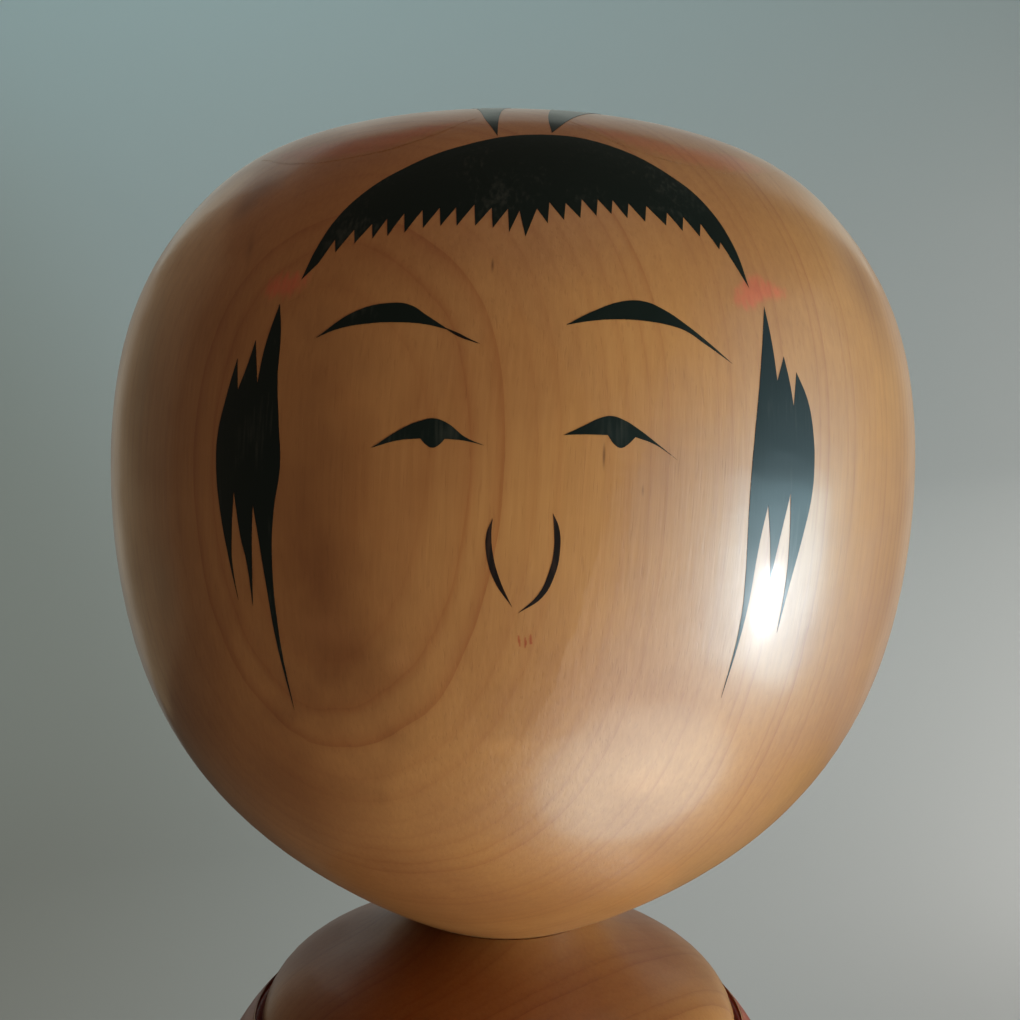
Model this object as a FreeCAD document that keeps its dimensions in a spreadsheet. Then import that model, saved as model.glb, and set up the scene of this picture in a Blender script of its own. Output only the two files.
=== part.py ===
# Kokeshi doll: a turned wooden head that twists on a turned wooden body.
# Millimetres, +Z up along the turning axis, origin at the centre of the standing base.
import FreeCAD, Part
import Sketcher
import os

doc = FreeCAD.newDocument("KokeshiDoll")

# ---------------------------------------------------------------- sizes
# Heights are above the table. Radii are from the turning axis.
# The head is a smooth egg drawn by control points between its crown and its chin.
SIZES = {
    "crown_height": 318.0,
    "crown_flat_radius": 29.0,
    "forehead_radius": 42.5,
    "forehead_height": 307.4,
    "temple_radius": 51.5,
    "temple_height": 288.3,
    "cheek_radius": 49.0,
    "cheek_height": 252.1,
    "jaw_radius": 33.3,
    "jaw_height": 230.3,
    "chin_radius": 16.0,
    "chin_height": 221.0,
    "neck_radius": 12.5,
    # The head rests on a small flat on top of the shoulder dome, and its tenon goes down inside.
    "neck_seat_height": 219.3,
    "neck_gap": 0.1,
    "tenon_radius": 9.0,
    "tenon_belly_radius": 82.0,
    "tenon_length": 24.0,
    "tenon_chamfer": 0.8,
    "fit_clearance": 0.05,
    "socket_spare_depth": 2.0,
    # The shoulder dome, a second egg-like curve that ends in a groove.
    "dome_top_radius": 16.2,
    "dome_top_height": 215.8,
    "dome_upper_radius": 22.5,
    "dome_upper_height": 214.8,
    "dome_side_radius": 31.0,
    "dome_side_height": 209.6,
    "groove_height": 204.6,
    "groove_width": 0.9,
    # The body's side, one long hollow curve from the rim of the shoulder to the foot.
    "rim_inner_height": 205.9,
    "rim_slope_radius": 37.4,
    "rim_slope_height": 200.0,
    "rim_side_radius": 39.2,
    "rim_side_height": 187.0,
    "chest_radius": 36.8,
    "chest_height": 160.0,
    "waist_radius": 32.6,
    "waist_height": 110.0,
    "hip_radius": 35.0,
    "hip_height": 50.0,
    "foot_radius": 40.0,
    "foot_band_height": 6.0,
    "foot_fillet": 1.2,
    # The underside: a shallow dish inside the standing ring, and the marks of the lathe's claws.
    "dish_radius": 31.0,
    "dish_depth": 1.2,
    "dish_floor_radius": 29.0,
    "claw_count": 6.0,
    "claw_inner_radius": 12.4,
    "claw_outer_radius": 13.6,
    "claw_half_width": 1.6,
    "claw_depth": 2.5,
}

sheet = doc.addObject("Spreadsheet::Sheet", "Sizes")
for row, (alias, value) in enumerate(SIZES.items(), start=1):
    sheet.set(f"A{row}", alias.replace("_", " "))
    sheet.set(f"B{row}", str(value))
    sheet.setAlias(f"B{row}", alias)
doc.recompute()


def cells(*names):
    """Add up named cells, or take one away if its name has a minus: the number and its expression."""
    number = sum(-SIZES[name[1:]] if name[0] == "-" else SIZES[name] for name in names)
    terms = [f"-Sizes.{name[1:]}" if name[0] == "-" else f"+Sizes.{name}" for name in names]
    return number, "0 mm " + " ".join(f"{term} * 1 mm" for term in terms)


AXIS = (0.0, None)
TABLE = (0.0, None)


# ---------------------------------------------------------------- sketches
def new_sketch(body, name, plane):
    """An empty sketch on one of the body's own origin planes."""
    sketch = body.newObject("Sketcher::SketchObject", name)
    support = [item for item in body.Origin.OriginFeatures if item.Role == plane][0]
    sketch.AttachmentSupport = [(support, "")]
    sketch.MapMode = "FlatFace"
    return sketch


def pin(sketch, geometry, position, corner):
    """Hold one point of a sketch at its distances from the axis and the table."""
    for kind, (number, expression), zero_axis in zip(("DistanceX", "DistanceY"), corner, (-2, -1)):
        if expression is None:
            sketch.addConstraint(Sketcher.Constraint("PointOnObject", geometry, position, zero_axis))
            continue
        index = sketch.addConstraint(Sketcher.Constraint(kind, geometry, position, number))
        sketch.setExpression(f"Constraints[{index}]", expression)


def point(corner):
    """A corner's place in its sketch."""
    (across, _), (up, _) = corner
    return FreeCAD.Vector(across, up, 0)


def add_line(sketch, start, end):
    return sketch.addGeometry(Part.LineSegment(point(start), point(end)), False), (1, 2)


def add_bulge(sketch, start, end, radius, clearance=0.0):
    """A shallow arc that swells away from the axis: the belly of a tenon or its socket."""
    number, expression = radius
    first, last = point(start), point(end)
    half_chord = first.distanceToPoint(last) / 2
    middle = (first + last) / 2
    middle.x += number - (number ** 2 - half_chord ** 2) ** 0.5
    arc = Part.Arc(first, middle, last)
    geometry = sketch.addGeometry(arc, False)
    starts_first = sketch.getPoint(geometry, 1).distanceToPoint(first) < 1e-6
    index = sketch.addConstraint(Sketcher.Constraint("Radius", geometry, number))
    sketch.setExpression(f"Constraints[{index}]", expression)
    return geometry, (1, 2) if starts_first else (2, 1)


def add_curve(sketch, corners, degree=3):
    """A smooth curve on control points. The points between its ends are pinned here."""
    places = [point(corner) for corner in corners]
    spans = len(places) - degree
    knots = [i / spans for i in range(spans + 1)]
    repeats = [degree + 1] + [1] * (spans - 1) + [degree + 1]
    curve = Part.BSplineCurve()
    curve.buildFromPolesMultsKnots(places, repeats, knots, False, degree)
    geometry = sketch.addGeometry(curve, False)
    sketch.exposeInternalGeometry(geometry)
    for number, corner in enumerate(corners):
        pin(sketch, geometry + 1 + number, 3, corner)
    return geometry, (1, 2)


def close_profile(sketch, edges, corners):
    """Join each edge to the next, and pin the corners that no curve has pinned."""
    for number, ((geometry, ends), corner) in enumerate(zip(edges, corners)):
        following, following_ends = edges[(number + 1) % len(edges)]
        joint = Sketcher.Constraint("Coincident", geometry, ends[1], following, following_ends[0])
        sketch.addConstraint(joint)
        if corner is not None:
            pin(sketch, geometry, ends[1], corner)


def revolve(body, sketch, name):
    """Turn a profile a full circle about the doll's axis."""
    feature = body.newObject("PartDesign::Revolution", name)
    feature.Profile = sketch
    feature.ReferenceAxis = (sketch, ["V_Axis"])
    feature.Angle = 360
    body.Tip = feature
    doc.recompute()
    return feature


def edges_at(shape, radius, height):
    """Names of the round edges with this radius at this height."""
    slack = 0.01
    names = []
    for number, edge in enumerate(shape.Edges, start=1):
        box = edge.BoundBox
        at_height = abs(box.ZMin - height) < slack and abs(box.ZMax - height) < slack
        if at_height and abs(box.XMax - radius) < slack:
            names.append(f"Edge{number}")
    return names


def dress(body, kind, name, base, edge_names, size_property, size_cell):
    """A fillet or chamfer on round edges of the feature before it."""
    feature = body.newObject(f"PartDesign::{kind}", name)
    feature.Base = (base, edge_names)
    feature.setExpression(size_property, f"Sizes.{size_cell} * 1 mm")
    body.Tip = feature
    doc.recompute()
    return feature


# ---------------------------------------------------------------- head
# One block of wood: an egg, wider at the temples than at the jaw, whose chin ends in a flat
# that sits on the body, with a tenon below it. The tenon swells a little, so it can't pull out.
head = doc.addObject("PartDesign::Body", "Head")
head.Label = "head"

neck_bottom = cells("neck_seat_height", "neck_gap")
tenon_top = (cells("tenon_radius"), neck_bottom)
tenon_end = (cells("tenon_radius"), cells("neck_seat_height", "-tenon_length"))
head_curve = [
    (AXIS, cells("crown_height")),
    (cells("crown_flat_radius"), cells("crown_height")),
    (cells("forehead_radius"), cells("forehead_height")),
    (cells("temple_radius"), cells("temple_height")),
    (cells("cheek_radius"), cells("cheek_height")),
    (cells("jaw_radius"), cells("jaw_height")),
    (cells("chin_radius"), cells("chin_height")),
    (cells("neck_radius"), neck_bottom),
]
tenon_foot = (AXIS, cells("neck_seat_height", "-tenon_length"))

head_sketch = new_sketch(head, "HeadProfile", "XZ_Plane")
head_edges = [
    add_curve(head_sketch, head_curve),
    add_line(head_sketch, head_curve[-1], tenon_top),
    add_bulge(head_sketch, tenon_top, tenon_end, cells("tenon_belly_radius")),
    add_line(head_sketch, tenon_end, tenon_foot),
    add_line(head_sketch, tenon_foot, head_curve[0]),
]
close_profile(head_sketch, head_edges, [None, tenon_top, tenon_end, tenon_foot, None])
head_turned = revolve(head, head_sketch, "HeadTurned")

tenon_rim = edges_at(head_turned.Shape, tenon_end[0][0], tenon_end[1][0])
dress(head, "Chamfer", "TenonChamfer", head_turned, tenon_rim, "Size", "tenon_chamfer")

# ---------------------------------------------------------------- body
# One block of wood: a standing ring, a long waisted side, a sloping rim, a groove, and
# the shoulder dome with a flat for the head. The blind socket follows the tenon's belly.
trunk = doc.addObject("PartDesign::Body", "Trunk")
trunk.Label = "body"

mouth_radius = cells("tenon_radius", "fit_clearance")
socket_mouth = (mouth_radius, cells("neck_seat_height"))
socket_belly_end = (mouth_radius, cells("neck_seat_height", "-tenon_length"))
socket_bottom_height = cells("neck_seat_height", "-tenon_length", "-socket_spare_depth")
socket_corner = (mouth_radius, socket_bottom_height)
socket_centre = (AXIS, socket_bottom_height)
seat_edge = (cells("neck_radius", "fit_clearance"), cells("neck_seat_height"))
dome_curve = [
    seat_edge,
    (cells("dome_top_radius"), cells("dome_top_height")),
    (cells("dome_upper_radius"), cells("dome_upper_height")),
    (cells("dome_side_radius"), cells("dome_side_height")),
    (cells("dome_side_radius"), cells("groove_height")),
]
groove_outer_radius = cells("dome_side_radius", "groove_width")
groove_corner = (groove_outer_radius, cells("groove_height"))
side_curve = [
    (groove_outer_radius, cells("rim_inner_height")),
    (cells("rim_slope_radius"), cells("rim_slope_height")),
    (cells("rim_side_radius"), cells("rim_side_height")),
    (cells("chest_radius"), cells("chest_height")),
    (cells("waist_radius"), cells("waist_height")),
    (cells("hip_radius"), cells("hip_height")),
    (cells("foot_radius"), cells("foot_band_height")),
]
foot_corner = (cells("foot_radius"), TABLE)
dish_edge = (cells("dish_radius"), TABLE)
dish_corner = (cells("dish_floor_radius"), cells("dish_depth"))
dish_centre = (AXIS, cells("dish_depth"))

trunk_sketch = new_sketch(trunk, "TrunkProfile", "XZ_Plane")
trunk_edges = [
    add_curve(trunk_sketch, dome_curve),
    add_line(trunk_sketch, dome_curve[-1], groove_corner),
    add_line(trunk_sketch, groove_corner, side_curve[0]),
    add_curve(trunk_sketch, side_curve),
    add_line(trunk_sketch, side_curve[-1], foot_corner),
    add_line(trunk_sketch, foot_corner, dish_edge),
    add_line(trunk_sketch, dish_edge, dish_corner),
    add_line(trunk_sketch, dish_corner, dish_centre),
    add_line(trunk_sketch, dish_centre, socket_centre),
    add_line(trunk_sketch, socket_centre, socket_corner),
    add_line(trunk_sketch, socket_corner, socket_belly_end),
    add_bulge(trunk_sketch, socket_belly_end, socket_mouth, cells("tenon_belly_radius")),
    add_line(trunk_sketch, socket_mouth, seat_edge),
]
close_profile(
    trunk_sketch,
    trunk_edges,
    [None, groove_corner, None, None, foot_corner, dish_edge, dish_corner, dish_centre,
     socket_centre, socket_corner, socket_belly_end, socket_mouth, None],
)
trunk_turned = revolve(trunk, trunk_sketch, "TrunkTurned")

foot_edge = edges_at(trunk_turned.Shape, SIZES["foot_radius"], 0.0)
foot_rounded = dress(trunk, "Fillet", "FootFillet", trunk_turned, foot_edge, "Radius", "foot_fillet")

# The lathe's claws bit a ring of short slots into the end grain of the underside.
claw_sketch = new_sketch(trunk, "ClawMark", "XY_Plane")
claw_corners = [
    (cells("claw_inner_radius"), cells("-claw_half_width")),
    (cells("claw_outer_radius"), cells("-claw_half_width")),
    (cells("claw_outer_radius"), cells("claw_half_width")),
    (cells("claw_inner_radius"), cells("claw_half_width")),
]
claw_edges = [add_line(claw_sketch, claw_corners[i - 1], claw_corners[i]) for i in range(4)]
close_profile(claw_sketch, claw_edges, claw_corners)

before_claws = foot_rounded.Shape
claw_pocket = trunk.newObject("PartDesign::Pocket", "ClawPocket")
claw_pocket.Profile = claw_sketch
claw_pocket.Reversed = True
claw_pocket.setExpression("Length", "(Sizes.dish_depth + Sizes.claw_depth) * 1 mm")
trunk.Tip = claw_pocket
doc.recompute()
claw_ring = trunk.newObject("PartDesign::PolarPattern", "ClawRing")
claw_ring.Originals = [claw_pocket]
claw_ring.Axis = (claw_sketch, ["N_Axis"])
claw_ring.Angle = 360
claw_ring.setExpression("Occurrences", "Sizes.claw_count")
trunk.Tip = claw_ring
doc.recompute()
claw_thickness = SIZES["claw_outer_radius"] - SIZES["claw_inner_radius"]
one_claw = 2 * SIZES["claw_half_width"] * claw_thickness * SIZES["claw_depth"]
expected = one_claw * SIZES["claw_count"]
removed = before_claws.cut(claw_ring.Shape).Volume
VOLUME_SHARE_ALLOWED = 0.01
if abs(removed - expected) > VOLUME_SHARE_ALLOWED * expected:
    raise RuntimeError(f"the claw marks took away {removed:.1f} mm3, not {expected:.1f} mm3")

# ---------------------------------------------------------------- place, test and save
head.Placement = FreeCAD.Placement()
trunk.Placement = FreeCAD.Placement()
doc.recompute()
for item in doc.Objects:
    if "Invalid" in item.State or "Error" in item.State:
        raise RuntimeError(f"{item.Label} failed: {item.State}")
pieces = (trunk, head)
for piece in pieces:
    if piece.Shape.isNull() or not piece.Shape.isValid():
        raise RuntimeError(f"{piece.Label} has no valid shape")
OVERLAP_ALLOWED = 1e-3
overlap = head.Shape.common(trunk.Shape)
if overlap.Volume > OVERLAP_ALLOWED:
    raise RuntimeError(f"head and body overlap by {overlap.Volume:.4f} mm3")

os.makedirs("parts", exist_ok=True)
for piece in pieces:
    box = piece.Shape.BoundBox
    print(piece.Label, len(piece.Shape.Solids), "solid", round(piece.Shape.Volume / 1000, 1), "cm3")
    print("  heights", round(box.ZMin, 2), "to", round(box.ZMax, 2), "mm")
    piece.Shape.exportStep(f"parts/{piece.Label}.step")
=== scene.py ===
import math

import bpy
from mathutils import Matrix, Vector
from mathutils.kdtree import KDTree


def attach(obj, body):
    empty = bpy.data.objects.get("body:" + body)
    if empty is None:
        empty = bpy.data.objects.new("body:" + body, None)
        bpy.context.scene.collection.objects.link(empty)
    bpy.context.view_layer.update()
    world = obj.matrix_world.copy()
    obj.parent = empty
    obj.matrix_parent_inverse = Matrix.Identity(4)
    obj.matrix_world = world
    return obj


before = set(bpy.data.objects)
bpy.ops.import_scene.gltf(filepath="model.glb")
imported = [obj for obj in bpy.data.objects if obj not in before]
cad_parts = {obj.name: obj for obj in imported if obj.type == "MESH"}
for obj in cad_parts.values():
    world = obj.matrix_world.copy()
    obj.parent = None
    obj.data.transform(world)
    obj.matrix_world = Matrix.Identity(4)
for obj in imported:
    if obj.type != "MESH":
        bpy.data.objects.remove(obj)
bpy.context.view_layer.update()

MM = 0.001

# ---------------------------------------------------------------- table, wall and light
# The doll stands on a pale matt paper that sweeps up into a wall. A window lights it low from
# the right, bluer sky shows above it, the table glows from below, and the room fills in.


def clear_selection():
    """Put everything down before the next piece is picked up."""
    if bpy.context.object and bpy.context.object.mode == "EDIT":
        bpy.ops.object.mode_set(mode="OBJECT")
    bpy.ops.object.select_all(action="DESELECT")


def wire(material, kind, inputs=None, **settings):
    """Add one shader node, with its settings and its inputs: a value, or another node's output."""
    tree = material.node_tree
    node = tree.nodes.new("ShaderNode" + kind)
    for name, value in settings.items():
        setattr(node, name, value)
    for name, value in (inputs or {}).items():
        socket = node.inputs[name]
        if isinstance(value, bpy.types.NodeSocket):
            tree.links.new(value, socket)
        else:
            socket.default_value = value
    return node


def bare_material(name):
    """A new material with an empty shader, ready for its surface."""
    material = bpy.data.materials.new(name)
    material.use_nodes = True
    shader = material.node_tree.nodes["Principled BSDF"]
    return material, shader


def feed(material, shader, name, output):
    """Plug a node's output into the shader."""
    material.node_tree.links.new(output, shader.inputs[name])


FLOOR_RADIUS = 0.7
FLOOR_SIDES = 96
SWEEP_RADIUS = 0.6
SWEEP_STEPS = 12
SWEEP_CREASE = math.radians(30)
WALL_TOP = 2.2
# The paper is painted darker on the left and low down: painted shade, where less of the light falls. The
# shade runs along this slope, in metres.
SHADE_SLOPE = (1.0, 0.0, 0.9)
SHADE_START = -0.38
SHADE_END = 0.14
PAPER_ROUGHNESS = 0.9
PALE_PAPER = (0.63, 0.645, 0.63, 1)
SHADED_PAPER = (0.43, 0.42, 0.38, 1)

clear_selection()
bpy.ops.mesh.primitive_circle_add(vertices=FLOOR_SIDES, radius=FLOOR_RADIUS, fill_type="NOTHING")
backdrop = bpy.context.object
backdrop.name = "paper_sweep"
bpy.ops.object.mode_set(mode="EDIT")
reach, lift = FLOOR_RADIUS, 0.0
for step in range(1, SWEEP_STEPS + 1):
    angle = math.pi / 2 * step / SWEEP_STEPS
    new_reach = FLOOR_RADIUS + SWEEP_RADIUS * math.sin(angle)
    new_lift = SWEEP_RADIUS * (1 - math.cos(angle))
    bpy.ops.mesh.extrude_region_move(TRANSFORM_OT_translate={"value": (0, 0, new_lift - lift)})
    growth = new_reach / reach
    bpy.ops.transform.resize(value=(growth, growth, 1), center_override=(0, 0, new_lift))
    reach, lift = new_reach, new_lift
bpy.ops.mesh.extrude_region_move(TRANSFORM_OT_translate={"value": (0, 0, WALL_TOP - lift)})
bpy.ops.mesh.select_mode(type="VERT")
bpy.ops.mesh.select_all(action="DESELECT")
bpy.ops.object.mode_set(mode="OBJECT")
for vertex in backdrop.data.vertices:
    vertex.select = vertex.co.z < MM
bpy.ops.object.mode_set(mode="EDIT")
bpy.ops.mesh.edge_face_add()
bpy.ops.mesh.select_all(action="SELECT")
bpy.ops.mesh.normals_make_consistent(inside=True)
bpy.ops.object.mode_set(mode="OBJECT")
bpy.ops.object.shade_smooth_by_angle(angle=SWEEP_CREASE)

paper, paper_shader = bare_material("pale paper")
spot = wire(paper, "TexCoord").outputs["Object"]
along_slope = wire(paper, "VectorMath", {0: spot, 1: SHADE_SLOPE}, operation="DOT_PRODUCT").outputs["Value"]
shade = wire(
    paper, "MapRange", {0: along_slope, 1: SHADE_START, 2: SHADE_END}, interpolation_type="SMOOTHSTEP"
).outputs[0]
# Painted shade: the paper's colour darkens towards the left and towards the bottom.
paper_tone = wire(paper, "Mix", {0: shade, 6: SHADED_PAPER, 7: PALE_PAPER}, data_type="RGBA").outputs[2]
feed(paper, paper_shader, "Base Color", paper_tone)
paper_shader.inputs["Roughness"].default_value = PAPER_ROUGHNESS
backdrop.data.materials.append(paper)
backdrop.visible_glossy = False
backdrop.visible_diffuse = False


def soft_light(name, place, towards, size, power, colour, shows_in, shape="RECTANGLE", spread=180):
    """A soft box with no visible frame, aimed at a point. It lights the gloss or the matt part."""
    bpy.ops.object.light_add(type="AREA", location=place)
    box = bpy.context.object
    box.name = name
    box.rotation_euler = (Vector(towards) - Vector(place)).to_track_quat("-Z", "Y").to_euler()
    box.data.shape = shape
    box.data.spread = math.radians(spread)
    box.data.size, box.data.size_y = size
    box.data.energy = power
    box.data.color = colour
    box.visible_camera = False
    box.visible_glossy = shows_in == "gloss"
    box.visible_diffuse = shows_in == "matt"


FACE = (0.0, -0.03, 0.27)
CHIN = (0.0, -0.03, 0.22)
RIGHT_SHOULDER = (0.03, -0.03, 0.20)
RIGHT_OF_WALL = (0.75, 1.3, 0.05)
RIGHT_OF_TABLE = (0.30, 0.45, 0.0)
TOP_OF_WALL = (-0.25, 1.3, 0.95)

# Each box: place, target, size in metres, power in watts, colour, and the part that it lights.
# Window and sky, low on the right: matt light on the wood, and what the wax and the ink mirror.
soft_light("day", (0.50, -0.17, 0.16), FACE, (0.50, 0.24), 1.08, (0.60, 0.98, 0.98), "matt", spread=100)
soft_light("window", (0.465, -0.161, 0.117), FACE, (0.046, 0.074), 1.15, (0.88, 0.95, 1.0), "gloss")
soft_light("window_haze", (0.493, -0.169, 0.130), FACE, (0.32, 0.28), 1.6, (0.56, 0.88, 1.0), "gloss")
soft_light("sky", (0.55, -0.10, 0.42), FACE, (0.42, 0.36), 0.26, (0.45, 0.78, 1.0), "gloss")
# The table in front of the doll, lit by the window.
soft_light(
    "bright_table", (0.14, -0.10, 0.004), RIGHT_SHOULDER, (0.26, 0.22), 0.46, (0.74, 0.97, 1.0), "gloss",
    shape="ELLIPSE",
)
soft_light("table_glow", (0.20, -0.24, 0.01), CHIN, (0.24, 0.24), 2.3, (0.90, 0.98, 1.0), "matt")
# The room all round.
soft_light("room", (0.0, -0.95, 0.9), FACE, (0.9, 0.9), 1.1, (1.0, 0.56, 0.32), "matt")
soft_light("ceiling", (0.20, -0.15, 1.1), FACE, (0.6, 0.6), 2.2, (1.0, 0.98, 0.96), "matt")
soft_light("back_fill", (0.25, 0.95, 0.75), FACE, (1.0, 0.7), 1.6, (1.0, 0.95, 0.90), "matt")
soft_light("left_wall_glow", (-0.9, 0.6, 0.4), FACE, (0.9, 1.2), 0.85, (1.0, 0.74, 0.40), "gloss")
soft_light("right_wall_glow", (0.9, 0.7, 0.35), FACE, (0.9, 1.2), 0.7, (1.0, 0.94, 0.82), "gloss")
soft_light("back_wall_glow", (0.0, 0.9, 1.0), FACE, (1.6, 0.8), 2.0, (0.88, 1.0, 0.92), "gloss")
soft_light("low_back_glow", (0.0, 1.15, 0.30), FACE, (2.2, 0.9), 1.5, (0.94, 1.0, 0.95), "gloss")
# Pools of light on the paper.
soft_light("right_wall", (0.9, 0.45, 0.12), RIGHT_OF_WALL, (0.4, 0.4), 6.6, (1.0, 0.94, 0.92), "matt")
soft_light("table_right", (0.55, 0.45, 0.32), RIGHT_OF_TABLE, (0.3, 0.3), 0.45, (1.0, 0.96, 0.96), "matt")
soft_light("high_wall", (-0.20, 0.4, 1.25), TOP_OF_WALL, (0.9, 0.5), 3.9, (0.52, 0.92, 1.0), "matt")

world = bpy.data.worlds.new("room light")
world.use_nodes = True
room_light = world.node_tree.nodes["Background"]
room_light.inputs["Color"].default_value = (1.0, 0.88, 0.70, 1)
room_light.inputs["Strength"].default_value = 0.055
bpy.context.scene.world = world
bpy.context.scene.view_settings.view_transform = "Standard"

# The camera is held a hand's breadth from the face, a touch above the doll's eyes.
CAMERA_PLACE = (-0.0002, -0.150, 0.2755)
CAMERA_DIP = math.radians(1.5)
CAMERA_LEAN = math.radians(1.4)
CAMERA_LENS = 40.1
camera_data = bpy.data.cameras.new("camera")
camera_data.sensor_width = 36
camera_data.lens = CAMERA_LENS
camera_data.clip_start = 10 * MM
camera = bpy.data.objects.new("camera", camera_data)
bpy.context.scene.collection.objects.link(camera)
aim = Matrix.Rotation(math.pi / 2 - CAMERA_DIP, 4, "X") @ Matrix.Rotation(CAMERA_LEAN, 4, "Z")
camera.matrix_world = Matrix.Translation(CAMERA_PLACE) @ aim
bpy.context.scene.camera = camera

# ---------------------------------------------------------------- turned wood
# Head and body are each one billet of slow-grown pale hardwood, gone amber with age. Turned
# and burnished on the lathe, then waxed. The billets were split clear of the tree's heart.

WANDER = 2.2 * MM
PORE_TINT = (0.62, 0.50, 0.42, 1)
# How dark the wood is through a year's growth, between two late edges: share of the year, darkness.
RING_PROFILE = ((0.10, 0.38), (0.26, 0.0), (0.55, 0.06), (0.82, 0.45))


def wood_nodes(material, heart, twist, ring_width, pale, deep, line, marks):
    """The grain's colour, its height and the mottling, from rings about the tree's heart."""
    place = wire(material, "TexCoord").outputs["Object"]
    tree = wire(
        material, "Mapping", {"Vector": place, "Location": heart, "Rotation": twist}, vector_type="TEXTURE"
    ).outputs["Vector"]
    # Slow mottling from wax and handling.
    mottle = wire(material, "TexNoise", {"Vector": place, "Scale": 75.0, "Detail": 3.0}).outputs["Fac"]
    cloud = wire(material, "TexNoise", {"Vector": place, "Scale": 22.0, "Detail": 1.0}).outputs["Fac"]
    # Rings, each with its own strength, and a slow wander.
    wander = wire(material, "VectorMath", {0: tree, 1: (45, 45, 14)}, operation="MULTIPLY").outputs[0]
    wander = wire(material, "TexNoise", {"Vector": wander, "Scale": 1.0, "Detail": 4.0}).outputs["Fac"]
    flat = wire(material, "VectorMath", {0: tree, 1: (1, 1, 0)}, operation="MULTIPLY").outputs[0]
    reach = wire(material, "VectorMath", {0: flat}, operation="LENGTH").outputs["Value"]
    reach = wire(material, "Math", {0: wander, 1: WANDER, 2: reach}, operation="MULTIPLY_ADD").outputs[0]
    ring = wire(material, "Math", {0: reach, 1: ring_width}, operation="DIVIDE").outputs[0]
    year = wire(material, "Math", {0: ring}, operation="FLOOR").outputs[0]
    season = wire(material, "Math", {0: ring}, operation="FRACT").outputs[0]
    strength = wire(material, "TexWhiteNoise", {"W": year}, noise_dimensions="1D").outputs["Value"]
    strength = wire(material, "Math", {0: strength, 1: 2.2}, operation="POWER").outputs[0]
    strength = wire(material, "MapRange", {0: strength, 1: 0.0, 2: 1.0, 3: 0.16, 4: 1.0}).outputs[0]
    fading = wire(material, "MapRange", {0: wander, 1: 0.32, 2: 0.55, 3: 0.5, 4: 1.0}).outputs[0]
    strength = wire(material, "Math", {0: strength, 1: fading}, operation="MULTIPLY").outputs[0]
    late = wire(material, "ValToRGB", {"Fac": season})
    late.color_ramp.elements[0].position = 0.0
    late.color_ramp.elements[0].color = (0.9, 0.9, 0.9, 1)
    late.color_ramp.elements[1].position = 1.0
    late.color_ramp.elements[1].color = (1, 1, 1, 1)
    for position, grey in RING_PROFILE:
        late.color_ramp.elements.new(position).color = (grey, grey, grey, 1)
    late_wood = wire(material, "Math", {0: late.outputs[0], 1: strength}, operation="MULTIPLY").outputs[0]
    # Fibres run up the billet, and short open pores lie along them.
    along = wire(material, "VectorMath", {0: tree, 1: (2400, 2400, 110)}, operation="MULTIPLY").outputs[0]
    fibre = wire(material, "TexNoise", {"Vector": along, "Scale": 1.0, "Detail": 2.0}).outputs["Fac"]
    short = wire(material, "VectorMath", {0: tree, 1: (5200, 5200, 420)}, operation="MULTIPLY").outputs[0]
    pore = wire(material, "TexNoise", {"Vector": short, "Scale": 1.0, "Detail": 0.0}).outputs["Fac"]
    pore = wire(material, "MapRange", {0: pore, 1: 0.66, 2: 0.80, 3: 0.0, 4: 0.22}).outputs[0]
    tone = wire(material, "Math", {0: fibre, 1: 0.35, 2: -0.17}, operation="MULTIPLY_ADD").outputs[0]
    tone = wire(material, "Math", {0: mottle, 1: 0.8, 2: tone}, operation="MULTIPLY_ADD").outputs[0]
    tone = wire(material, "Math", {0: cloud, 1: 0.8, 2: tone}, operation="MULTIPLY_ADD").outputs[0]
    tone = wire(material, "MapRange", {0: tone, 1: 0.50, 2: 1.12, 3: 0.0, 4: 1.0}).outputs[0]
    colour = wire(material, "Mix", {0: tone, 6: pale, 7: deep}, data_type="RGBA").outputs[2]
    for share, tint in ((late_wood, line), (pore, PORE_TINT)):
        colour = wire(
            material, "Mix", {0: share, 6: colour, 7: tint}, data_type="RGBA", blend_type="MULTIPLY"
        ).outputs[2]
    # Stains, scuffs and patches of painted shade, each a ragged patch.
    for centre, half_sizes, tint in marks:
        centre = [value * MM for value in centre]
        growth = [1 / (value * MM) for value in half_sizes]
        away = wire(material, "VectorMath", {0: place, 1: centre}, operation="SUBTRACT").outputs[0]
        away = wire(material, "VectorMath", {0: away, 1: growth}, operation="MULTIPLY").outputs[0]
        away = wire(material, "VectorMath", {0: away}, operation="LENGTH").outputs["Value"]
        away = wire(material, "Math", {0: mottle, 1: 2.6, 2: away}, operation="MULTIPLY_ADD").outputs[0]
        share = wire(material, "MapRange", {0: away, 1: 2.4, 2: 1.35, 3: 0.0, 4: 1.0}).outputs[0]
        colour = wire(
            material, "Mix", {0: share, 6: colour, 7: (*tint, 1)}, data_type="RGBA", blend_type="MULTIPLY"
        ).outputs[2]
    relief = wire(material, "Math", {0: pore, 1: -0.9, 2: fibre}, operation="MULTIPLY_ADD").outputs[0]
    relief = wire(material, "Math", {0: mottle, 1: 6.0, 2: relief}, operation="MULTIPLY_ADD").outputs[0]
    return colour, relief, mottle


WAX_ROUGHNESS = 0.17
WAX_IOR = 1.45
GRAIN_DEPTH = 0.015 * MM
# Each gloss is the wood's own, then the share of wax on top. The head is handled, so it is shinier.
HEAD_GLOSS = (0.95, 0.5)
BODY_GLOSS = (0.35, 0.18)


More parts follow.
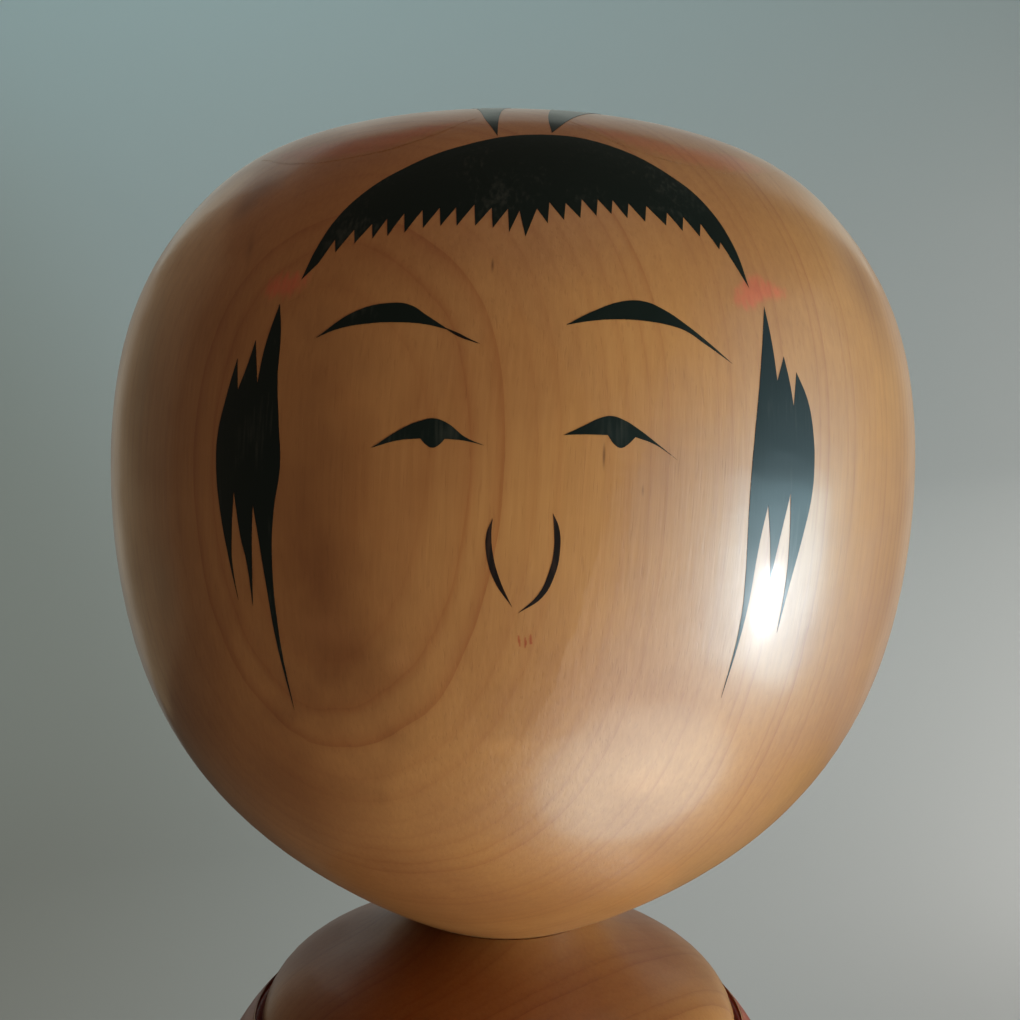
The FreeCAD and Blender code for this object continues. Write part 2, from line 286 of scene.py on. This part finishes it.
def finish_wax(material, shader, colour, relief, mottle, depth, gloss):
    """Burnished wax over the wood: a soft gloss with a sharper one on top."""
    own_gloss, wax_gloss = gloss
    feed(material, shader, "Base Color", colour)
    dull = wire(material, "MapRange", {0: mottle, 1: 0.3, 2: 0.7, 3: 0.36, 4: 0.50}).outputs[0]
    feed(material, shader, "Roughness", dull)
    bump = wire(material, "Bump", {"Height": relief, "Distance": depth, "Strength": 1.0}).outputs[0]
    feed(material, shader, "Normal", bump)
    shader.inputs["Specular IOR Level"].default_value = own_gloss
    shader.inputs["Coat Weight"].default_value = wax_gloss
    shader.inputs["Coat Roughness"].default_value = WAX_ROUGHNESS
    shader.inputs["Coat IOR"].default_value = WAX_IOR


# Tints of the marks that age leaves, and of painted shade. Each mark has a centre and half sizes in
# millimetres, and a tint.
SMUDGE = (0.72, 0.66, 0.62)
# Patina along the head's left edge; the same tint also paints shade low on the left of the face.
PATINA_AND_SHADE = (0.66, 0.56, 0.50)
# Painted shade: it darkens the wood where the head turns away from the light.
PAINTED_SHADE = (0.52, 0.42, 0.38)
SCUFF = (1.14, 1.18, 1.28)
PORE_LINE = (0.45, 0.38, 0.32)
# The two broad patches on the left of the face, on the cheek and low down, are painted shade where the head
# turns away from the light; the rest are stains, pores and scuffs.
HEAD_MARKS = [
    ((-26.3, -33.0, 304.6), (3.0, 3.0, 3.2), SMUDGE), ((-27.8, -33.6, 302.2), (1.7, 2.0, 2.2), SMUDGE),
    ((-26.2, -38.0, 297.8), (0.5, 2.5, 2.6), SMUDGE), ((-38.6, -30.5, 285.0), (3.5, 4.0, 12.0), PATINA_AND_SHADE),
    ((-36.0, -34.0, 264.0), (3.5, 4.0, 8.0), SMUDGE), ((-17.5, -45.0, 266.0), (9.0, 10.0, 21.0), PAINTED_SHADE),
    ((-22.0, -39.0, 243.0), (11.0, 10.0, 13.0), PATINA_AND_SHADE), ((36.5, -28.6, 297.0), (4.5, 4.0, 7.5), SMUDGE),
    ((-2.3, -47.5, 294.8), (0.16, 1.5, 0.75), PORE_LINE), ((8.0, -49.4, 277.9), (0.14, 1.5, 1.1), PORE_LINE),
    ((11.6, -48.6, 274.9), (0.18, 1.5, 0.8), PORE_LINE), ((-17.5, -45.0, 261.5), (3.6, 3.0, 1.6), SCUFF),
    ((-9.8, -47.0, 258.9), (1.2, 2.0, 1.6), SCUFF), ((-0.1, -45.6, 251.0), (2.0, 2.0, 1.0), SCUFF),
    ((13.5, -41.5, 246.5), (3.6, 3.0, 2.0), SCUFF),
]
HEAD_GRAIN = {
    "heart": (-0.0376, -0.1034, 0.274), "twist": (0.02, 0.03, 0), "ring_width": 1.5 * MM,
    "pale": (0.46, 0.190, 0.056, 1), "deep": (0.29, 0.097, 0.023, 1), "line": (0.76, 0.56, 0.46, 1),
    "marks": HEAD_MARKS,
}
head_wood, head_shader = bare_material("head wood")
finish_wax(head_wood, head_shader, *wood_nodes(head_wood, **HEAD_GRAIN), GRAIN_DEPTH, HEAD_GLOSS)
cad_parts["head"].data.materials[0] = head_wood

BODY_MARKS = [
    ((30.0, -14.0, 70.0), (6.0, 6.0, 9.0), SMUDGE), ((-22.0, 25.0, 150.0), (7.0, 6.0, 10.0), SMUDGE),
    ((8.0, 33.0, 60.0), (4.0, 3.0, 6.0), SCUFF), ((-24.0, 0.0, 211.0), (4.0, 6.0, 3.0), SMUDGE),
]
BODY_GRAIN = {
    "heart": (-0.060, 0.070, 0.11), "twist": (0.02, -0.03, 0), "ring_width": 1.9 * MM,
    "pale": (0.41, 0.152, 0.038, 1), "deep": (0.27, 0.082, 0.017, 1), "line": (0.72, 0.54, 0.44, 1),
    "marks": BODY_MARKS,
}
body_wood, body_shader = bare_material("body wood")
finish_wax(body_wood, body_shader, *wood_nodes(body_wood, **BODY_GRAIN), GRAIN_DEPTH, BODY_GLOSS)
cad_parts["body"].data.materials[0] = body_wood

# ---------------------------------------------------------------- black ink
# Soot ink, brushed on bare wood and waxed over: the fringe, brows, eyes, nose and side locks.
# Each stroke is a thin film that lies on the wood and turns with the head.

INK_GLOSS = (0.3, 0.5)
INK_GRAIN_DEPTH = 0.01 * MM


def ink_material(name, thick, thin, wear):
    """Ink that lets a little wood colour through along the fibres."""
    material, shader = bare_material(name)
    place = wire(material, "TexCoord").outputs["Object"]
    along = wire(material, "VectorMath", {0: place, 1: (2600, 2600, 160)}, operation="MULTIPLY").outputs[0]
    streak = wire(material, "TexNoise", {"Vector": along, "Scale": 1.0, "Detail": 3.0}).outputs["Fac"]
    mottle = wire(material, "TexNoise", {"Vector": place, "Scale": 160.0, "Detail": 3.0}).outputs["Fac"]
    worn = wire(material, "Math", {0: streak, 1: mottle}, operation="MULTIPLY").outputs[0]
    worn = wire(material, "MapRange", {0: worn, 1: 0.30 - wear, 2: 0.46 - wear}).outputs[0]
    colour = wire(material, "Mix", {0: worn, 6: thick, 7: thin}, data_type="RGBA").outputs[2]
    finish_wax(material, shader, colour, streak, mottle, INK_GRAIN_DEPTH, INK_GLOSS)
    return material


black_ink = ink_material("black ink", (0.004, 0.007, 0.005, 1), (0.022, 0.022, 0.016, 1), wear=0.0)
thin_ink = ink_material("thin ink", (0.008, 0.004, 0.003, 1), (0.034, 0.014, 0.008, 1), wear=0.03)

# The way a brush faces the doll. Shapes are drawn clear of the wood, then pressed on it that way.
FRONT = Matrix.Rotation(math.pi / 2, 4, "X")
ABOVE = Matrix.Identity(4)
CLEAR_IN_FRONT = 70 * MM
CLEAR_ABOVE = 340 * MM
CURVE_STEPS = 6
WELD = 0.001 * MM
# How far a film stands proud of the wood, and how far it sits in.
INK_DEPTH = 0.035 * MM
FILM_BITE = 0.02 * MM


def pick_up(piece):
    """Make one piece the only one selected."""
    clear_selection()
    piece.select_set(True)
    bpy.context.view_layer.objects.active = piece


def draw_flat(name, outlines, facing):
    """Closed outlines drawn flat, clear of the wood. Each point is across, up, and round or a tip."""
    clear_selection()
    bpy.ops.curve.primitive_bezier_circle_add()
    shape = bpy.context.object
    shape.name = name
    curve = shape.data
    curve.dimensions = "2D"
    curve.fill_mode = "BOTH"
    curve.splines.clear()
    for outline in outlines:
        spline = curve.splines.new("BEZIER")
        spline.bezier_points.add(len(outline) - 1)
        spline.use_cyclic_u = True
        spline.resolution_u = CURVE_STEPS
        for corner, (across, up, turn) in zip(spline.bezier_points, outline):
            corner.co = (across * MM, up * MM, 0)
            handle = "VECTOR" if turn == "tip" else "AUTO"
            corner.handle_left_type = handle
            corner.handle_right_type = handle
    bpy.ops.object.convert(target="MESH")
    shape = bpy.context.object
    stand_off = facing @ Vector((0, 0, CLEAR_IN_FRONT if facing == FRONT else CLEAR_ABOVE))
    shape.matrix_world = Matrix.Translation(stand_off) @ facing
    bpy.ops.object.transform_apply(location=True, rotation=True, scale=True)
    return shape


def mark_soak(shape, reach):
    """Store how far in from its edge each part of a flat shape lies, from 0 to 1 at the reach."""
    uses = [0] * len(shape.data.edges)
    for loop in shape.data.loops:
        uses[loop.edge_index] += 1
    rim = {end for edge, count in zip(shape.data.edges, uses) if count == 1 for end in edge.vertices}
    rim_tree = KDTree(len(rim))
    for number in rim:
        rim_tree.insert(shape.data.vertices[number].co, number)
    rim_tree.balance()
    soak = shape.data.attributes.new("soak", "FLOAT", "POINT")
    for vertex in shape.data.vertices:
        soak.data[vertex.index].value = min(rim_tree.find(vertex.co)[2] / reach, 1.0)


def give_thickness(film, node, depth):
    """Thicken a film that lies on the wood, and let it shade as the wood's own curve does."""
    thicken = film.modifiers.new("thicken", "SOLIDIFY")
    thicken.thickness = depth + FILM_BITE
    thicken.offset = (depth - FILM_BITE) / (depth + FILM_BITE)
    bpy.ops.object.modifier_apply(modifier="thicken")
    bpy.ops.object.shade_smooth()
    normals = film.modifiers.new("wood's curve", "DATA_TRANSFER")
    normals.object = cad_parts[node]
    normals.use_loop_data = True
    normals.data_types_loops = {"CUSTOM_NORMAL"}
    normals.loop_mapping = "POLYINTERP_NEAREST"
    bpy.ops.object.modifier_apply(modifier=normals.name)


def lay_on(shape, node, facing, material, grid, soft_edge, depth):
    """Cut a flat shape into small cells, press it on the wood, and give it the ink's thickness."""
    pick_up(shape)
    bpy.ops.object.mode_set(mode="EDIT")
    sides = (Vector((1, 0, 0)), facing @ Vector((0, 1, 0)))
    corners = [v.co.copy() for v in shape.data.vertices]
    for side in sides:
        spans = [corner.dot(side) for corner in corners]
        cut = math.ceil(min(spans) / grid) * grid
        while cut < max(spans):
            bpy.ops.mesh.select_all(action="SELECT")
            bpy.ops.mesh.bisect(plane_co=side * cut, plane_no=side)
            cut += grid
    bpy.ops.mesh.select_all(action="SELECT")
    bpy.ops.mesh.quads_convert_to_tris()
    bpy.ops.mesh.remove_doubles(threshold=WELD)
    bpy.ops.object.mode_set(mode="OBJECT")
    if soft_edge:
        mark_soak(shape, soft_edge)
    press = shape.modifiers.new("press", "SHRINKWRAP")
    press.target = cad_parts[node]
    press.wrap_method = "PROJECT"
    press.use_project_y = facing == FRONT
    press.use_project_z = facing == ABOVE
    press.use_positive_direction = facing == FRONT
    press.use_negative_direction = facing == ABOVE
    bpy.ops.object.modifier_apply(modifier="press")
    give_thickness(shape, node, depth)
    shape.data.materials.clear()
    shape.data.materials.append(material)
    return shape


def paint(name, outlines, node, facing, material, grid=1.0, soft_edge=0.0, depth=INK_DEPTH):
    """One brushed shape, from outline to doll. Grid and soft edge are in millimetres."""
    shape = draw_flat(name, outlines, facing)
    film = lay_on(shape, node, facing, material, grid * MM, soft_edge * MM, depth)
    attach(film, node)


# The fringe: a crescent with a row of hair tips combed outwards from the middle. Every outline on
# the doll is in millimetres across from its middle and up from the table, or back if seen from above.
FRINGE_TOP = [
    (-20.2, 293.7, "tip"), (-18.8, 297.1, "round"), (-17.0, 300.1, "round"), (-14.5, 302.7, "round"),
    (-11.5, 304.8, "round"), (-6.2, 307.4, "round"), (2.0, 309.2, "round"), (8.6, 308.3, "round"),
    (15.2, 304.8, "round"), (17.9, 302.3, "round"), (20.4, 298.3, "round"), (21.8, 294.1, "tip"),
]
# Each tip is across, up, and how deep the notch beside it goes.
LEFT_TIPS = [
    (-17.0, 296.3, 1.3), (-15.2, 297.1, 1.4), (-13.5, 297.5, 1.5), (-12.1, 297.7, 1.8), (-10.5, 298.0, 2.0),
    (-8.8, 298.4, 1.9), (-7.2, 298.6, 1.9), (-5.7, 298.6, 1.9), (-4.0, 298.6, 2.2), (-2.4, 298.4, 2.1),
    (-0.9, 298.0, 2.4),
]
RIGHT_TIPS = [
    (2.6, 299.0, 2.2), (4.1, 299.4, 1.8), (5.6, 299.7, 2.0), (7.1, 300.0, 1.8), (8.5, 300.3, 1.5),
    (10.0, 300.0, 1.6), (11.7, 299.8, 1.7), (13.7, 299.6, 1.4), (15.3, 299.2, 1.5), (17.0, 298.8, 1.4),
    (18.9, 297.7, 0.8),
]
NOTCH_LEAN = 0.15
fringe_edge = [(20.0, 297.0, "tip")]
for across, up, depth in reversed(RIGHT_TIPS):
    fringe_edge += [(across + NOTCH_LEAN, up + depth, "tip"), (across, up, "tip")]
fringe_edge += [(1.6, 300.5, "tip"), (0.6, 297.6, "tip"), (0.0, 300.2, "tip")]
for across, up, depth in reversed(LEFT_TIPS):
    fringe_edge += [(across, up, "tip"), (across - NOTCH_LEAN, up + depth, "tip")]
fringe_edge += [(-18.6, 295.3, "tip")]
paint("fringe", [FRINGE_TOP + fringe_edge], "head", FRONT, black_ink)

BROW_LEFT = [
    (-18.3, 288.1, "tip"), (-14.6, 290.5, "round"), (-11.3, 291.2, "round"), (-9.6, 291.0, "round"),
    (-8.0, 290.0, "round"), (-6.0, 288.7, "tip"), (-8.1, 289.2, "round"), (-10.6, 289.4, "round"),
    (-13.6, 289.3, "round"), (-16.5, 288.8, "round"),
]
BROW_RIGHT = [
    (4.4, 289.4, "tip"), (6.9, 290.8, "round"), (9.5, 291.8, "round"), (11.5, 291.9, "round"),
    (13.4, 291.2, "round"), (15.4, 290.0, "round"), (17.4, 288.6, "round"), (19.9, 286.7, "tip"),
    (17.1, 288.4, "round"), (15.4, 289.4, "round"), (14.0, 289.8, "round"), (11.6, 290.1, "round"),
    (8.8, 290.1, "round"), (6.3, 289.8, "round"),
]
EYE_LEFT = [
    (-12.7, 278.1, "tip"), (-9.7, 280.0, "round"), (-8.2, 280.6, "round"), (-7.1, 280.8, "round"),
    (-5.9, 280.4, "round"), (-4.3, 279.2, "round"), (-2.6, 278.5, "tip"), (-4.5, 278.9, "round"),
    (-6.1, 279.0, "tip"), (-6.7, 278.4, "round"), (-7.2, 278.2, "round"), (-7.7, 278.4, "round"),
    (-8.3, 279.0, "tip"), (-10.3, 278.8, "round"),
]
EYE_RIGHT = [
    (4.4, 279.6, "tip"), (6.2, 280.5, "round"), (7.6, 281.2, "round"), (8.6, 281.4, "round"),
    (9.7, 281.1, "round"), (11.1, 280.3, "round"), (12.8, 279.1, "round"), (14.7, 277.7, "tip"),
    (12.6, 279.0, "round"), (10.8, 279.6, "tip"), (10.1, 278.9, "round"), (9.5, 278.6, "round"),
    (8.9, 278.9, "round"), (8.3, 279.7, "tip"), (6.4, 279.7, "round"),
]
for name, outline in (
    ("brow_left", BROW_LEFT), ("brow_right", BROW_RIGHT), ("eye_left", EYE_LEFT), ("eye_right", EYE_RIGHT)
):
    paint(name, [outline], "head", FRONT, black_ink)


def stroke(points):
    """The outline of one brush stroke: points down its middle, each with its width. Its ends are tips."""
    places = [Vector(point[:2]) for point in points]
    out, back = [], []
    for number, (across, up, width) in enumerate(points):
        ahead = places[min(number + 1, len(points) - 1)] - places[max(number - 1, 0)]
        side = Vector((-ahead.y, ahead.x)).normalized() * width / 2
        if number in (0, len(points) - 1):
            out.append((across, up, "tip"))
        else:
            out.append((across + side.x, up + side.y, "round"))
            back.insert(0, (across - side.x, up - side.y, "round"))
    return out + back


NOSE = [
    stroke([(-1.7, 272.1, 0), (-2.0, 270.8, 0.42), (-1.9, 268.9, 0.58), (-1.2, 266.6, 0.50),
            (0.2, 264.2, 0)]),
    stroke([(3.6, 272.7, 0), (3.95, 271.4, 0.45), (4.05, 269.4, 0.55), (3.65, 267.3, 0.58),
            (2.7, 265.3, 0.45), (0.8, 263.7, 0)]),
]
paint("nose", NOSE, "head", FRONT, thin_ink)
BROW_TAIL = [stroke([(-6.6, 289.0, 0), (-5.2, 288.3, 0.28), (-4.3, 287.9, 0.18), (-3.2, 287.5, 0)])]
paint("brow_left_tail", BROW_TAIL, "head", FRONT, thin_ink)

LOCK_LEFT = [
    (-22.2, 291.5, "tip"), (-21.9, 288.6, "round"), (-22.0, 284.3, "round"), (-21.7, 280.0, "round"),
    (-21.5, 276.3, "round"), (-22.1, 272.2, "round"), (-22.3, 268.2, "round"), (-21.7, 260.6, "round"),
    (-20.4, 253.0, "tip"), (-22.1, 260.3, "round"), (-22.9, 265.0, "round"), (-23.8, 270.1, "round"),
    (-24.3, 272.7, "tip"), (-24.4, 270.0, "round"), (-24.4, 266.8, "round"), (-24.4, 263.0, "tip"),
    (-25.0, 267.2, "round"), (-25.6, 269.4, "round"), (-26.4, 273.9, "tip"), (-26.6, 270.4, "round"),
    (-26.6, 267.0, "round"), (-26.0, 263.4, "tip"), (-27.0, 267.5, "round"), (-27.9, 271.8, "round"),
    (-28.4, 276.0, "round"), (-28.3, 279.2, "round"), (-27.5, 282.6, "round"), (-26.4, 286.4, "tip"),
    (-26.2, 283.4, "tip"), (-25.3, 285.6, "round"), (-24.5, 288.1, "tip"), (-24.1, 283.9, "tip"),
    (-23.5, 287.3, "round"),
]
LOCK_RIGHT = [
    (23.3, 292.5, "tip"), (24.0, 289.2, "round"), (24.6, 285.4, "tip"), (25.3, 287.8, "tip"),
    (25.9, 285.6, "round"), (26.4, 283.1, "tip"), (26.7, 286.4, "tip"), (28.0, 283.8, "round"),
    (28.7, 280.6, "round"), (28.9, 277.4, "round"), (28.7, 274.6, "round"), (27.9, 270.9, "round"),
    (26.8, 266.5, "round"), (25.7, 261.5, "tip"), (26.3, 266.8, "round"), (26.4, 270.6, "round"),
    (26.3, 275.0, "tip"), (25.4, 271.0, "round"), (24.5, 266.6, "tip"), (24.3, 270.2, "round"),
    (23.9, 273.8, "tip"), (23.2, 270.4, "round"), (22.2, 263.4, "round"), (20.3, 255.3, "tip"),
    (21.7, 263.0, "round"), (21.9, 267.4, "round"), (21.9, 271.6, "round"), (22.0, 275.8, "round"),
    (22.3, 280.4, "round"), (22.8, 286.2, "round"),
]
paint("lock_left", [LOCK_LEFT], "head", FRONT, black_ink)
paint("lock_right", [LOCK_RIGHT], "head", FRONT, black_ink)

# ---------------------------------------------------------------- crown
# On top of the head the hair is drawn up in two strands, parted over the fringe, that meet in a
# black patch with a combed rear edge. It is the same brushed soot ink as the fringe.

CROWN_LEFT = [
    (-2.3, -38.7, "tip"), (-2.9, -37.4, "round"), (-3.6, -35.6, "round"), (-4.3, -32.2, "round"),
    (-5.0, -28.5, "round"), (-6.9, -22.5, "round"), (-9.6, -15.5, "round"), (-11.5, -8.5, "round"),
    (-12.0, -1.0, "round"), (-10.6, 6.5, "tip"),
]
CROWN_TEETH = 11
COMB_HALF_WIDTH = 9.8
COMB_SPLAY = 1.06
COMB_REACH = 12.5
COMB_ROUNDING = 4.0
COMB_NOTCH = 3.4
crown_comb = []
for number in range(CROWN_TEETH):
    share = 2 * (number + 0.5) / CROWN_TEETH - 1
    tip = COMB_REACH - COMB_ROUNDING * share ** 2
    crown_comb.append((share * COMB_HALF_WIDTH * COMB_SPLAY, tip, "tip"))
    if number < CROWN_TEETH - 1:
        crown_comb.append(((share + 1 / CROWN_TEETH) * COMB_HALF_WIDTH, tip - COMB_NOTCH, "tip"))
CROWN_RIGHT = [
    (10.8, 6.5, "tip"), (12.3, -1.0, "round"), (12.4, -10.0, "round"), (11.2, -18.5, "round"),
    (8.4, -27.5, "round"), (6.2, -32.2, "round"), (4.5, -35.5, "round"), (3.7, -36.9, "round"),
    (3.0, -38.0, "tip"), (2.7, -35.6, "round"), (2.9, -31.5, "round"), (3.3, -26.5, "round"),
    (1.0, -15.0, "tip"), (-0.9, -26.5, "round"), (-1.8, -31.0, "round"), (-2.2, -34.5, "round"),
    (-2.3, -36.9, "round"),
]
crown_outline = CROWN_LEFT + crown_comb + CROWN_RIGHT
paint("crown_hair", [crown_outline], "head", ABOVE, black_ink)

# ---------------------------------------------------------------- red dye on the head
# Thin red dye soaks into the wood with a soft edge and has faded to pink: the ribbons that tie
# the hair, a dab over each side lock, and the mouth, which is three short strokes side by side.

RIBBON_DEPTH = 0.02 * MM
DAB_DEPTH = 0.015 * MM


def dye_material(name, grain, tint, spread, gloss):
    """Wood stained by dye: the grain shows through, and the stain thins towards its edge."""
    material, shader = bare_material(name)
    colour, relief, mottle = wood_nodes(material, **grain)
    soak = wire(material, "Attribute", attribute_name="soak").outputs["Fac"]
    place = wire(material, "TexCoord").outputs["Object"]
    along = wire(material, "VectorMath", {0: place, 1: (2000, 2000, 500)}, operation="MULTIPLY").outputs[0]
    streak = wire(material, "TexNoise", {"Vector": along, "Scale": 1.0, "Detail": 2.0}).outputs["Fac"]
    patchy = wire(material, "Math", {0: streak, 1: mottle}, operation="ADD").outputs[0]
    patchy = wire(material, "Math", {0: patchy, 1: 1.6, 2: -1.6}, operation="MULTIPLY_ADD").outputs[0]
    share = wire(material, "Math", {0: patchy, 1: soak}, operation="ADD").outputs[0]
    share = wire(material, "MapRange", {0: share}, interpolation_type="SMOOTHSTEP").outputs[0]
    edge = wire(material, "MapRange", {0: soak, 1: 0.0, 2: 0.25}).outputs[0]
    share = wire(material, "Math", {0: share, 1: edge}, operation="MULTIPLY").outputs[0]
    share = wire(material, "Math", {0: share, 1: spread}, operation="MULTIPLY").outputs[0]
    colour = wire(
        material, "Mix", {0: share, 6: colour, 7: tint}, data_type="RGBA", blend_type="MULTIPLY"
    ).outputs[2]
    finish_wax(material, shader, colour, relief, mottle, GRAIN_DEPTH, gloss)
    return material


faded_red = dye_material("faded red dye", HEAD_GRAIN, (1.32, 0.74, 0.98, 1), 1.0, HEAD_GLOSS)
ribbon_red = dye_material("worn ribbon dye", HEAD_GRAIN, (1.16, 0.78, 0.95, 1), 0.6, HEAD_GLOSS)
# The left-hand ribbons, and the right-hand ones are their mirror.
RIBBONS = {
    "front": [
        (-4.6, -35.2, 0), (-9.0, -36.4, 2.4), (-16.0, -35.6, 3.0), (-23.0, -31.4, 2.4), (-28.0, -26.0, 0),
    ],
    "middle": [(-13.0, -17.0, 0), (-18.0, -18.6, 2.4), (-24.5, -17.5, 3.0), (-31.0, -12.5, 0)],
    "back": [(-13.6, -6.0, 0), (-19.0, -4.5, 2.4), (-25.0, -1.0, 3.0), (-30.0, 5.0, 0)],
}
for side, mirror in (("left", 1), ("right", -1)):
    for part, points in RIBBONS.items():
        ribbon = [stroke([(across * mirror, up, width) for across, up, width in points])]
        paint(
            f"ribbon_{side}_{part}", ribbon, "head", ABOVE, ribbon_red,
            grid=0.6, soft_edge=1.2, depth=RIBBON_DEPTH,
        )

DAB_LEFT = [
    (-24.6, 293.2, "round"), (-23.2, 294.9, "round"), (-21.0, 295.0, "round"), (-19.0, 294.6, "round"),
    (-19.4, 293.0, "round"), (-20.6, 291.9, "round"), (-22.6, 291.4, "round"), (-24.2, 291.9, "round"),
]
DAB_RIGHT = [
    (19.8, 293.0, "round"), (20.9, 294.9, "round"), (22.0, 295.9, "round"), (23.6, 295.6, "round"),
    (24.6, 295.4, "round"), (26.4, 293.9, "round"), (25.2, 293.0, "round"), (23.6, 292.4, "round"),
    (22.3, 291.6, "round"), (20.6, 291.8, "round"),
]
for name, outline, soft_edge in (("dab_left", DAB_LEFT, 1.3), ("dab_right", DAB_RIGHT, 1.7)):
    paint(
        name, [outline], "head", FRONT, faded_red,
        grid=0.35, soft_edge=soft_edge, depth=DAB_DEPTH,
    )

MOUTH = [
    stroke([(0.75, 262.1, 0), (0.85, 261.4, 0.34), (1.0, 260.7, 0.34), (1.1, 260.0, 0)]),
    stroke([(1.95, 262.2, 0), (1.92, 261.5, 0.32), (1.98, 260.8, 0.32), (2.05, 260.2, 0)]),
    stroke([(1.42, 261.7, 0), (1.45, 261.2, 0.40), (1.45, 260.7, 0.40), (1.44, 260.3, 0)]),
]
mouth_red = dye_material("mouth dye", HEAD_GRAIN, (0.80, 0.36, 0.22, 1), 1.0, HEAD_GLOSS)
paint("mouth", MOUTH, "head", FRONT, mouth_red, grid=0.12, soft_edge=0.10, depth=DAB_DEPTH)

# ---------------------------------------------------------------- bands on the body
# While the body still turned on the lathe, a brush was held against it: a broad red band on the
# slope of the rim, a fine black line and a green one under it, and the same three at the foot.

body_red = dye_material("red dye", BODY_GRAIN, (0.84, 0.23, 0.16, 1), 1.0, BODY_GLOSS)
body_green = dye_material("green dye", BODY_GRAIN, (0.16, 0.36, 0.18, 1), 1.0, BODY_GLOSS)
# Where the bands are, the body's outside is wider than this and its socket is narrower.
SKIN_RADIUS = 20 * MM


def lathe_band(name, low, high, material, slot):
    """A band all round the body, between two heights in millimetres, taken from the body's own skin."""
    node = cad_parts["body"]
    clear_selection()
    band = bpy.data.objects.new(name, node.data.copy())
    bpy.context.scene.collection.objects.link(band)
    pick_up(band)
    bpy.ops.object.mode_set(mode="EDIT")
    bpy.ops.mesh.select_all(action="SELECT")
    bpy.ops.mesh.remove_doubles(threshold=WELD)
    for height, keep_above in ((low, True), (high, False)):
        bpy.ops.mesh.select_all(action="SELECT")
        bpy.ops.mesh.bisect(
            plane_co=(0, 0, height * MM), plane_no=(0, 0, 1),
            clear_inner=keep_above, clear_outer=not keep_above,
        )
    bpy.ops.mesh.select_mode(type="FACE")
    bpy.ops.mesh.select_all(action="DESELECT")
    bpy.ops.object.mode_set(mode="OBJECT")
    for face in band.data.polygons:
        face.select = face.center.xy.length < SKIN_RADIUS
    bpy.ops.object.mode_set(mode="EDIT")
    bpy.ops.mesh.delete(type="FACE")
    bpy.ops.object.mode_set(mode="OBJECT")
    soak = band.data.attributes.new("soak", "FLOAT", "POINT")
    for entry in soak.data:
        entry.value = 1.0
    give_thickness(band, "body", INK_DEPTH)
    band.data.materials.clear()
    band.data.materials.append(material)
    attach(band, "body")


# Each band is its name, its lower and upper edge in millimetres, its material and its slot.
BANDS = [
    ("band_rim", 201.2, 205.7, body_red, "red_dye"),
    ("line_rim", 199.4, 200.1, black_ink, "black_ink"),
    ("band_shoulder", 190.6, 192.4, body_green, "green_dye"),
    ("line_foot_green", 19.2, 21.0, body_green, "green_dye"),
    ("band_foot", 9.0, 17.6, body_red, "red_dye"),
    ("line_foot", 6.6, 7.3, black_ink, "black_ink"),
]
for band in BANDS:
    lathe_band(*band)

# ---------------------------------------------------------------- flowers on the body
# Two chrysanthemums, one over the other, in quick curved strokes of red dye, with green leaves
# beside their stem. They face the same way as the face does when the head is at rest.

# How a loaded brush swells along a stroke: share of the length, share of the width.
BRUSH_SWELL = ((0, 0), (0.25, 0.5), (0.6, 0.9), (0.85, 1.0), (0.97, 0.6), (1.0, 0))


def petal(base, angle, size, start, length, width, bend):
    """One brush stroke that leaves the flower's base at an angle, in degrees from straight up."""
    start, length, width, bend = start * size, length * size, width * size, bend * size
    out = Vector((math.sin(math.radians(angle)), math.cos(math.radians(angle))))
    side = Vector((out.y, -out.x)) * (1 if angle > 0 else -1 if angle < 0 else 0)
    line = []
    for share, swell in BRUSH_SWELL:
        spot = Vector(base) + out * (start + length * share) + side * bend * share ** 2
        line.append((spot.x, spot.y, width * swell))
    return stroke(line)


def bloom(name, base, size):
    """A chrysanthemum seen from the side: a fan of tall petals over a skirt of short ones."""
    fan = [
        petal(base, angle, size, start=5.0, length=15.5 - 0.055 * abs(angle), width=3.3, bend=1.6)
        for angle in range(-75, 76, 15)
    ]
    skirt = [
        petal(base, side * angle, size, start=5.0, length=8.0, width=2.6, bend=-1.5)
        for side in (-1, 1) for angle in (94, 112, 130)
    ]
    paint(name + "_petals", fan + skirt, "body", FRONT, body_red, grid=1.0, soft_edge=0.5)
    heart = [
        petal(base, angle, size, start=1.2, length=3.0, width=1.3, bend=0.0)
        for angle in range(-60, 61, 30)
    ]
    paint(name + "_heart", heart, "body", FRONT, body_green, grid=0.8, soft_edge=0.4)


bloom("upper_bloom", (0.0, 148.0), 1.32)
bloom("lower_bloom", (0.0, 84.0), 1.38)
STEMS = [
    stroke([(0.3, 143.0, 0), (0.9, 136.0, 1.2), (0.2, 126.0, 1.3), (-0.3, 115.0, 0)]),
    stroke([(0.0, 79.0, 0), (-0.8, 68.0, 1.3), (-0.2, 52.0, 1.5), (0.4, 30.0, 0)]),
]
paint("stems", STEMS, "body", FRONT, body_green, grid=1.0, soft_edge=0.5)
for name, height, size in (("upper", 122.0, 1.1), ("lower", 55.0, 1.3), ("foot", 37.0, 1.05)):
    leaves = [
        petal((0.0, height), side * angle, size, start=2.4, length=length, width=5.4, bend=-2.6)
        for side in (-1, 1) for angle, length in ((58, 15.0), (98, 12.0))
    ]
    paint(name + "_leaves", leaves, "body", FRONT, body_green, grid=1.0, soft_edge=0.5)
